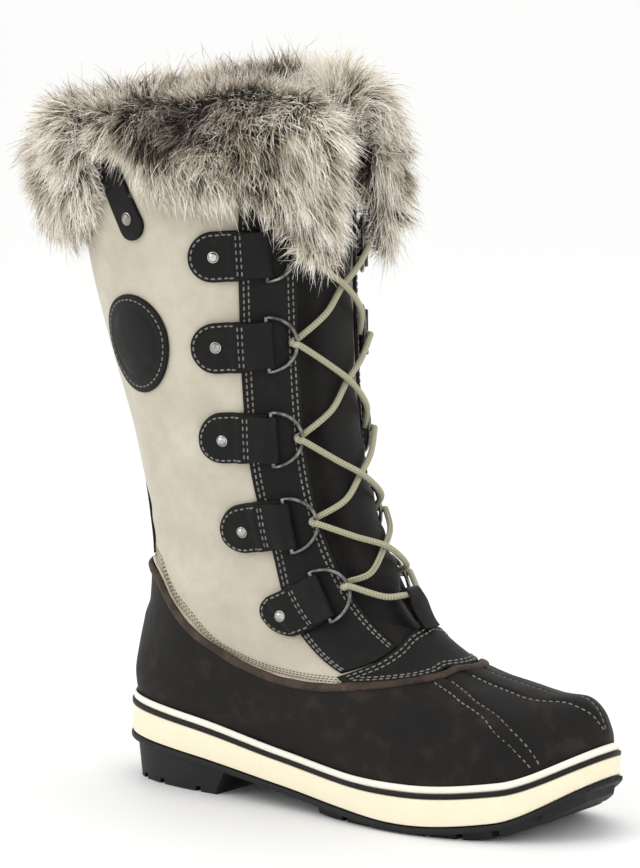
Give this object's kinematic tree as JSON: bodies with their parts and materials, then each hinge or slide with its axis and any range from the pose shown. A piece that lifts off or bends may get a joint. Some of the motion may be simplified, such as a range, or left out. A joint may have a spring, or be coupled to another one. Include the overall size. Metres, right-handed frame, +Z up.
{
  "type": "snow boot",
  "caption": "Tall winter boot with a hollow suede shaft, dark waxed lower shell, laces through D-rings, faux fur cuff and lugged rubber sole with a heel block",
  "frame": {"origin": "on the flat underside of the heel block, in its middle, where it meets the floor", "axes": "+X towards the toe, +Y towards the inner side of the foot, +Z up the shaft"},
  "size_m": [0.3495, 0.1777, 0.3842],
  "materials": {
    "upper": "pale beige brushed suede",
    "shell": "charcoal waxed nubuck, mottled",
    "trim": "dark smooth leather with grey stitching",
    "tongue": "dark soft nubuck, padded",
    "binding": "rolled brown binding",
    "foxing": "matt cream rubber",
    "stripe": "matt black rubber",
    "outsole": "matt black rubber, fine tread",
    "insole": "felt",
    "metal": "gunmetal nickel plating",
    "lace": "round braided cord",
    "fur": "deep faux fur, dark at the root and pale at the tip"
  },
  "bodies": {
    "root": {"outsole": "outsole", "foxing": "foxing", "foxing_stripe": "stripe", "insole": "insole", "upper": "upper", "lower_shell": "shell", "shell_binding": "binding", "vamp_plug": "trim", "facing_outer": "trim", "facing_inner": "trim", "tongue": "tongue", "back_stay": "trim", "side_patch": "trim", "pull_strap": "trim", "pull_strap_rivet": "metal", "lace": "lace", "lace_loop": "trim", "fur_cuff": "fur", "tab_outer_1": "trim", "ring_outer_1": "metal", "rivet_outer_1": "metal", "tab_outer_2": "trim", "ring_outer_2": "metal", "rivet_outer_2": "metal", "tab_outer_3": "trim", "ring_outer_3": "metal", "rivet_outer_3": "metal", "tab_outer_4": "trim", "ring_outer_4": "metal", "rivet_outer_4": "metal", "tab_outer_5": "trim", "ring_outer_5": "metal", "rivet_outer_5": "metal", "tab_inner_1": "trim", "ring_inner_1": "metal", "rivet_inner_1": "metal", "tab_inner_2": "trim", "ring_inner_2": "metal", "rivet_inner_2": "metal", "tab_inner_3": "trim", "ring_inner_3": "metal", "rivet_inner_3": "metal", "tab_inner_4": "trim", "ring_inner_4": "metal", "rivet_inner_4": "metal", "tab_inner_5": "trim", "ring_inner_5": "metal", "rivet_inner_5": "metal"}
  },
  "joints": []
}
